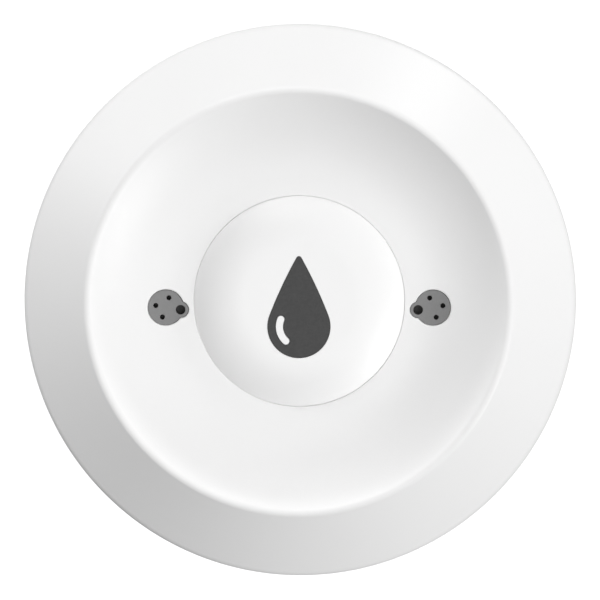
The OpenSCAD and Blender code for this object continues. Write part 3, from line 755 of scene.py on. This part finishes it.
def port_tower(outer_loop, inner_loop, side):
    """Dish sheet from a loop to the port's edge, the edge's round, its wall, the seat for the
    membrane and the sheet back to a loop on the underside. Side -1 is the mirror image."""
    flip = np.array([side, 1])
    far = outer_loop[:, :2] * flip - port_c
    away = far / length(far)[:, None]
    exits = [ray_exit(away, np.zeros(2), port_disc_r), ray_exit(away, port_lobe, port_lobe_r)]
    reach_r = np.maximum(*exits)
    reach = reach_r[:, None] * away
    loops = []
    for s in shares(12):
        plan = port_c + far * (1 - s) + (reach + port_edge * away) * s
        loops.append(raise_to(plan * flip, bowl(length(plan), 0)))
    for a in quarter_turn[1:]:
        plan = port_c + reach + port_edge * (1 - np.sin(a)) * away
        top = bowl(length(plan), 0)
        loops.append(raise_to(plan * flip, top - port_edge * (1 - np.cos(a))))
    boss = port_c + np.maximum(port_boss_r, reach_r + port_land)[:, None] * away
    loops += [raise_to(plan * flip, port_seat_z) for plan in (port_c + reach, boss)]
    under = between(boss * flip, inner_loop[:, :2], steps=3)
    return tower(loops + [raise_to(plan, bowl(length(plan), wall)) for plan in under])


def wall_middle(r):
    """Height of the middle of the cover's wall at radius r: the lower one of dish and flank."""
    return np.minimum(bowl(r, wall / 2), flank_height(r, wall / 2))


def boss_tower(middle):
    """Round boss about middle with a blind hole from below. Its top follows the wall's middle."""
    around = on_circle(1, np.arange(0, 360, cover_boss_step)).T
    rows = [
        (0, cover_hole_z), (cover_hole_r, cover_hole_z),
        (cover_hole_r, cover_boss_z), (cover_boss_r, cover_boss_z),
    ]
    top = [middle + r * around for r in cover_boss_r * shares(4)[::-1]]
    loops = rings(rows, around, middle)
    return tower(loops + [raise_to(plan, wall_middle(length(plan))) for plan in top])


cover_patches = []
port_span = sum(port_rows)
for side, start in ((1, port_block[0]), (-1, 180 - port_block[1])):
    first = start - cover_start
    last = first + port_block[1] - port_block[0]
    cover_keep[first:last, port_row:port_row + port_span] = False
    cover_keep[first:last, under_row:under_row + port_span] = False
    port_loop = window(cover_grid, first, last, port_row, port_row + port_span)
    under_loop = window(cover_grid, first, last, under_row + port_span, under_row)
    cover_patches.append(port_tower(port_loop, under_loop, side))
cover_patches.append(patch(cover_grid, cover_keep))
cover_rib_reach = np.linspace(cover_rib_r, inner_r + merge, cover_rib_steps + 1)
for angle in foot_angles:
    cover_patches.append(boss_tower(on_circle(seat_circle_r, angle)))
    cover_patches.append(rib(angle, cover_rib_reach, cover_rib_z, wall_middle(cover_rib_reach)))
make_piece("cover_shell", cover_patches, white_shell, "root", "white_shell", "top_cover")

# Button: a domed white cap in the middle of the dish, moulded in the same satin ABS and held by
# three snap bumps in windows of its well. It slides down half a millimetre onto the switch, and a
# silicone diaphragm pushes it back.
button_r = 11.4
button_edge = 0.04
crown_flat_r = 6.0
crown_z = 17.5
crown_r = 8.703
skirt_z = 13.3
skirt_in_r = 9.9
skirt_top = 14.9
crown_under = 15.9
stem_r = 2.0
stem_z = 13.1
bump_r = 11.75
bump_z = (13.5, 14.2)
bump_half = 6
inlay_z = 16.8
inlay_gap = 0.02
drop_lobe = np.array([0, -2.7])
drop_lobe_r = 3.4
drop_tip = np.array([0, 4.6])
drop_tip_r = 0.3
drop_side_r = 50.0
glint_r = 2.1
glint_half_w = 0.375
glint_turn = (158, 228)
glint_sink = 0.1
tiny = 1e-9
# Painted light: the same plastic as the cover, painted lighter for the light its raised dome
# catches
white_button = finish_with(
    "white_button_plastic", grain_group, bump=0.005,
    Light=grey(0.95), Dark=grey(0.93, 0.002), Grain_per_mm=6.0, Gloss=0.35, Matt=0.5,
)
crown_c = np.array([crown_flat_r, crown_z - crown_r])
button_angles = whole_degrees[:-1]
button_away = on_circle(1, button_angles).T
on_bump = in_thirds(button_angles, snap_angle - bump_half, snap_angle + bump_half)
bump_reach = np.where(on_bump, bump_r, button_r)[:, None]


def crown(r):
    """Height of the button at radius r: level in the middle, then an arc that starts level."""
    return crown_c[1] + np.sqrt(crown_r**2 - np.maximum(r - crown_flat_r, 0) ** 2)


def drop_reach(away, grow):
    """Distance from the button's middle to the edge of the drop in each direction. The drop is a
    round lobe and a small round tip, with two large arcs between them that touch both."""
    rise = np.linalg.norm(drop_tip - drop_lobe)
    low, high = drop_side_r - drop_lobe_r, drop_side_r - drop_tip_r
    up = (low**2 - high**2 + rise**2) / (2 * rise)
    side_c = drop_lobe + np.array([-np.sqrt(low**2 - up**2), up])
    runs = [drop_lobe - side_c, drop_tip - side_c]
    touch = [side_c[1] + drop_side_r * run[1] / np.linalg.norm(run) for run in runs]
    arcs = [ray_exit(away, side_c * [s, 1], drop_side_r + grow) for s in (1, -1)]
    ahead = np.where(away[:, 1] == 0, tiny, away[:, 1])
    level = np.where(away[:, 1] < 0, touch[0], touch[1]) / ahead
    flanks = np.minimum(np.minimum(*arcs), np.abs(level))
    rounds = ((drop_lobe, drop_lobe_r), (drop_tip, drop_tip_r))
    ends = [ray_exit(away, centre, radius + grow) for centre, radius in rounds]
    return np.maximum(flanks, np.maximum(*ends))


def on_crown(plan):
    """Plan points raised to the button's dome."""
    return raise_to(plan, crown(length(plan)))


def glint(half_w):
    """Outline of the glint: an arc about the drop's lobe with round ends. It closes up to a line at
    width 0."""
    first, last = glint_turn
    start, end = [drop_lobe + on_circle(glint_r, angle) for angle in glint_turn]
    return np.concatenate([
        arc(drop_lobe, glint_r + half_w, first, last, steps=24)[:-1],
        arc(end, half_w, last, last + 180, steps=10)[:-1],
        arc(drop_lobe, glint_r - half_w, last, first, steps=24)[:-1],
        arc(start, half_w, first + 180, first + 360, steps=10)[:-1],
    ])


drop_edge = drop_reach(button_away, inlay_gap)[:, None] * button_away
round_r = button_r - button_edge
round_z = crown_c[1] + np.sqrt((crown_r - button_edge) ** 2 - (round_r - crown_flat_r) ** 2)
round_turn = heading(np.array([round_r, round_z]) - crown_c)
dome_r = round_r + button_edge * np.cos(np.radians(round_turn))
button_sides = np.concatenate([
    arc((round_r, round_z), button_edge, round_turn, 0, round_steps),
    line((button_r, round_z), (button_r, bump_z[1]), steps=3),
])
button_under = [
    (button_r, bump_z[0]), (button_r, skirt_z), (skirt_in_r, skirt_z), (skirt_in_r, skirt_top),
    (crown_flat_r, skirt_top), (crown_flat_r, crown_under), (stem_r, crown_under),
    (stem_r, stem_z), (0, stem_z),
]
button_loops = [raise_to(drop_edge * s, inlay_z) for s in (0, 1)]
button_loops += [on_crown(plan) for plan in between(drop_edge, dome_r * button_away, steps=40)]
button_loops += rings(button_sides, button_away)
button_loops += [raise_to(bump_reach * button_away, z) for z in bump_z[::-1]]
button_loops += rings(button_under, button_away)
island_loops = [raise_to(glint(half_w), inlay_z - glint_sink) for half_w in (0, glint_half_w)]
island_loops += [on_crown(glint(glint_half_w * s)) for s in (1, 0.5, 0)]
make_piece(
    "button_dome", [tower(button_loops), tower(island_loops)],
    white_button, "button", "white_button", "button_cap",
)

# Drop mark: a dark grey inlay, moulded as a second shot into the button, level with its surface.
# The white glint in it is the button showing through.
grey_mark = finish_with(
    "grey_mark_plastic", grain_group, bump=0.002,
    Light=grey(0.034), Dark=grey(0.025), Grain_per_mm=5.0, Gloss=0.4, Matt=0.52,
)


def dress(material, *nodes):
    """Gives CAD nodes that stay as they are their finish."""
    for node in nodes:
        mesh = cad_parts[node].data
        mesh.materials.clear()
        mesh.materials.append(material)


dress(grey_mark, "drop_mark")

# Port grilles: two mid-grey plastic inserts with one large and three small sound holes, glued into
# the dish from inside. Behind each is a disc of dark grey woven membrane.
grey_insert = finish_with(
    "grey_insert_plastic", grain_group, bump=0.003,
    Light=grey(0.245), Dark=grey(0.2), Grain_per_mm=5.0, Gloss=0.45, Matt=0.6,
)
dress(grey_insert, "left_port_grille", "right_port_grille")

# Woven membrane: two crossed sets of threads
wave_span = (-1.0, 1.0)
whole_span = (0.0, 1.0)
weave_ends = ("Dark", "Light", "Matt", "Gloss")
weave_group, weave_in = make_group("fine_weave", "Threads per mm")
weave_place = add_node(
    weave_group, "ShaderNodeVectorMath",
    {0: millimetres(weave_group), "Scale": weave_in["Threads per mm"]}, operation="SCALE",
).outputs[0]
weave_axes = add_node(weave_group, "ShaderNodeSeparateXYZ", {0: weave_place}).outputs
weave_waves = [
    calculate(weave_group, "SINE", calculate(weave_group, "MULTIPLY", weave_axes[axis], 2 * np.pi))
    for axis in ("X", "Y")
]
weave_mask = stretch(weave_group, calculate(weave_group, "MULTIPLY", *weave_waves), wave_span)
close_group(weave_group, weave_in, weave_mask, weave_mask, weave_mask, weave_ends, whole_span)
dark_membrane = finish_with(
    "dark_membrane", weave_group, bump=0.02,
    Light=grey(0.2), Dark=grey(0.1), Threads_per_mm=9.0, Gloss=0.7, Matt=0.9,
)
dress(dark_membrane, "port_membranes")

# Diaphragm: a pleated silicone membrane under the button, which keeps the water out and pushes the
# button back. Its bead lies on the shelf of the well. Its pad goes down with the button's stem onto
# the switch.
bead_r = (7.8, 9.3)
bead_z = (12.6, 13.3)
pad_r = 2.6
pad_z = (12.25, 13.05)
pad_round = 0.1
web_reach = (2.1, 7.4)
web_z = (12.3, 12.65)
web_t = 0.45
web_root = (0.2, 1.0)
web_steps = 60
pleat_h = 1.0
pleat_half = 0.8
silicone = finish_with(
    "milky_silicone", grain_group, bump=0.004,
    Light=grey(0.72), Dark=grey(0.64), Grain_per_mm=2.0, Gloss=0.3, Matt=0.5,
    Subsurface_Weight=0.3, Subsurface_Radius=(1.0, 0.9, 0.8), Subsurface_Scale=0.4 * mm,
)
web_r = np.linspace(*web_reach, web_steps + 1)
pleat_turn = np.pi * np.clip((web_r - web_r.mean()) / pleat_half, -1, 1)
web_low = np.linspace(*web_z, web_steps + 1) + pleat_h * (1 + np.cos(pleat_turn)) / 2
root_span = [web_reach[0], web_reach[0] + web_root[1]]
web_high = web_low + np.interp(web_r, root_span, [web_root[0], web_t])
web_profile = np.concatenate([
    np.stack([web_r, web_low], axis=1),
    [
        (bead_r[0], web_z[1]), (bead_r[0], bead_z[0]), (bead_r[1], bead_z[0]),
        (bead_r[1], bead_z[1]), (bead_r[0], bead_z[1]), (bead_r[0], web_z[1] + web_t),
    ],
    np.stack([web_r, web_high], axis=1)[::-1],
    [(web_reach[0], web_z[0])],
])
pad_flat_r = pad_r - pad_round
pad_profile = np.concatenate([
    line((0, pad_z[0]), (pad_flat_r, pad_z[0]), steps=4),
    arc((pad_flat_r, pad_z[0] + pad_round), pad_round, -90, 0, round_steps),
    arc((pad_flat_r, pad_z[1] - pad_round), pad_round, 0, 90, round_steps),
    line((pad_flat_r, pad_z[1]), (0, pad_z[1]), steps=4),
])
make_piece(
    "diaphragm_web", [patch(spin(web_profile, full_turn))],
    silicone, "root", "silicone", "button_diaphragm",
)
make_piece(
    "diaphragm_pad", [patch(spin(pad_profile, full_turn))],
    silicone, "button", "silicone",
)

# Seals: soft black rings that are squeezed between the housing's two halves, under the door's
# flange and under the heads of the probes.
dress(dark_rubber, "housing_seal", "door_seal", "probe_washers")

# Boards: the round main board and the small radio board, glass fibre under a green solder mask.
# Copper tracks show through the mask as slightly lighter lines.
tracks_per_cell = 3.0
track_edge = (0.42, 0.5)
board_ends = ("Dark", "Light", "Gloss", "Matt")
board_group, board_in = make_group("solder_mask", "Tracks per mm")
board_place = millimetres(board_group, (1, 1, 0))
track_cells = add_node(
    board_group, "ShaderNodeTexVoronoi",
    {"Vector": board_place, "Scale": board_in["Tracks per mm"], "Randomness": 0.75},
    feature="F2", distance="CHEBYCHEV",
).outputs["Distance"]
track_count = calculate(board_group, "MULTIPLY", track_cells, tracks_per_cell)
tracks = stretch(board_group, calculate(board_group, "FRACT", track_count), track_edge)
close_group(board_group, board_in, tracks, tracks, tracks, board_ends, whole_span)
green_board = finish_with(
    "green_solder_mask", board_group, bump=0.02, Tracks_per_mm=0.35,
    Light=(0.03, 0.16, 0.06, 1), Dark=(0.008, 0.07, 0.025, 1), Gloss=0.25, Matt=0.38,
)
dress(green_board, "circuit_board", "radio_board")

# Parts on the board: switch, plunger, sounder and chip in black moulding compound, the status light
# in cream-coloured resin, and the ceramic capacitors in tan.
black_compound = finish_with(
    "black_compound", grain_group, bump=0.006,
    Light=grey(0.03), Dark=grey(0.015), Grain_per_mm=8.0, Gloss=0.5, Matt=0.75,
)
dress(black_compound, "switch_body", "switch_plunger", "piezo_buzzer", "controller_chip")
light_white = finish_with(
    "light_white", grain_group, bump=0.002, Grain_per_mm=3.0,
    Light=(0.85, 0.8, 0.5, 1), Dark=(0.75, 0.7, 0.4, 1), Gloss=0.2, Matt=0.35,
)
dress(light_white, "status_led")
ceramic_tan = finish_with(
    "ceramic_tan", grain_group, bump=0.004, Grain_per_mm=4.0,
    Light=(0.42, 0.3, 0.19, 1), Dark=(0.32, 0.22, 0.13, 1), Gloss=0.35, Matt=0.5,
)
dress(ceramic_tan, "chip_capacitors")

# Metal parts: stainless cell and shield, plated steel screws, brass spacers and contact springs.
# The sheet was rolled in one direction, which leaves fine lines.
rolled_lines_per_mm = (0.15, 6.0, 6.0)
rolled_group, rolled_in = make_group("rolled_metal")
rolled_lines = add_node(
    rolled_group, "ShaderNodeTexNoise",
    {"Vector": millimetres(rolled_group, rolled_lines_per_mm), "Scale": 1.0, "Detail": 4.0},
).outputs[0]
close_group(rolled_group, rolled_in, rolled_lines, rolled_lines, rolled_lines)
steel = finish_with(
    "rolled_steel", rolled_group, bump=0.002, Metallic=1.0,
    Light=grey(0.68), Dark=grey(0.52, 0.01), Gloss=0.22, Matt=0.4,
)
dress(steel, "housing_screws", "coin_cell", "radio_shield")
brass = finish_with(
    "rolled_brass", rolled_group, bump=0.002, Metallic=1.0,
    Light=(0.86, 0.64, 0.3, 1), Dark=(0.68, 0.47, 0.18, 1), Gloss=0.22, Matt=0.42,
)
dress(brass, "probe_standoffs", "negative_contact", "positive_contact")

# Studio: a white sweep that glows a little, as a lit ground does, six soft lights, two of them at
# ground level, and a weak even surround. A light's row gives where it stands as azimuth and height,
# then its spread and its strength.
floor_half = 2.0
floor_glow = 0.93
surround_glow = 0.14
lights = [
    ("top_light", 315, 80, 36, 0.93),
    ("right_light", 330, 30, 30, 1.73),
    ("left_light", 105, 30, 30, 1.29),
    ("low_left_light", 150, 6, 12, 0.64),
    ("ground_left_light", 135, 1, 2, 0.3),
    ("ground_right_light", 60, 1, 2, 0.61),
]
floor_mesh = bpy.data.meshes.new("floor")
floor_corners = floor_half * np.array([(-1, -1, 0), (1, -1, 0), (1, 1, 0), (-1, 1, 0)])
floor_mesh.from_pydata(floor_corners.tolist(), [], [(0, 1, 2, 3)])
floor_paint = finish_with(
    "floor_paint", grain_group, bump=0.0,
    Light=grey(0.4), Dark=grey(0.37), Grain_per_mm=0.5, Gloss=0.8, Matt=0.9,
    Emission_Color=grey(1.0), Specular_IOR_Level=0.0,
)
floor_tree = floor_paint.node_tree
seen = add_node(floor_tree, "ShaderNodeLightPath").outputs["Is Camera Ray"]
glow = calculate(floor_tree, "MULTIPLY", seen, floor_glow)
floor_tree.links.new(glow, floor_tree.nodes["Principled BSDF"].inputs["Emission Strength"])
floor_mesh.materials.append(floor_paint)
floor = bpy.data.objects.new("floor", floor_mesh)
bpy.context.collection.objects.link(floor)
for name, azimuth, height, spread, strength in lights:
    lamp = bpy.data.lights.new(name, "SUN")
    lamp.energy = strength
    lamp.angle = np.radians(spread)
    light = bpy.data.objects.new(name, lamp)
    rise = np.radians(height)
    light_from = np.append(on_circle(np.cos(rise), azimuth), np.sin(rise))
    light.rotation_euler = Vector(-light_from).to_track_quat("-Z", "Y").to_euler()
    bpy.context.collection.objects.link(light)
surround = bpy.data.worlds.new("surround")
surround.use_nodes = True
background = surround.node_tree.nodes["Background"]
background.inputs["Color"].default_value = grey(1.0)
background.inputs["Strength"].default_value = surround_glow
bpy.context.scene.world = surround
bpy.context.scene.view_settings.view_transform = "Standard"

# Camera: straight above with a long lens, a touch towards the upper right. Its distance makes the
# housing's radius body_pixels long in a picture that is photo_width wide.
camera_lens = 400.0
camera_sensor = 36.0
camera_lean = (1.3, 1.9)
camera_clip = (0.01, 20)
photo_width = 600
body_pixels = 276.0
target = Vector((0, 0, 0.0122))
half_view = body_r * mm * photo_width / 2 / body_pixels
camera_away = half_view / (camera_sensor / 2 / camera_lens)
lean = np.radians(camera_lean)
camera_from = Vector((np.sin(lean[0]), np.sin(lean[1]), 1)).normalized()
camera_right = Vector((0, 1, 0)).cross(camera_from).normalized()
camera_up = camera_from.cross(camera_right)
camera_data = bpy.data.cameras.new("camera")
camera_data.lens = camera_lens
camera_data.sensor_width = camera_sensor
camera_data.clip_start, camera_data.clip_end = camera_clip
camera = bpy.data.objects.new("camera", camera_data)
camera.location = target + camera_away * camera_from
camera.rotation_euler = Matrix((camera_right, camera_up, camera_from)).transposed().to_euler()
bpy.context.collection.objects.link(camera)
bpy.context.scene.camera = camera
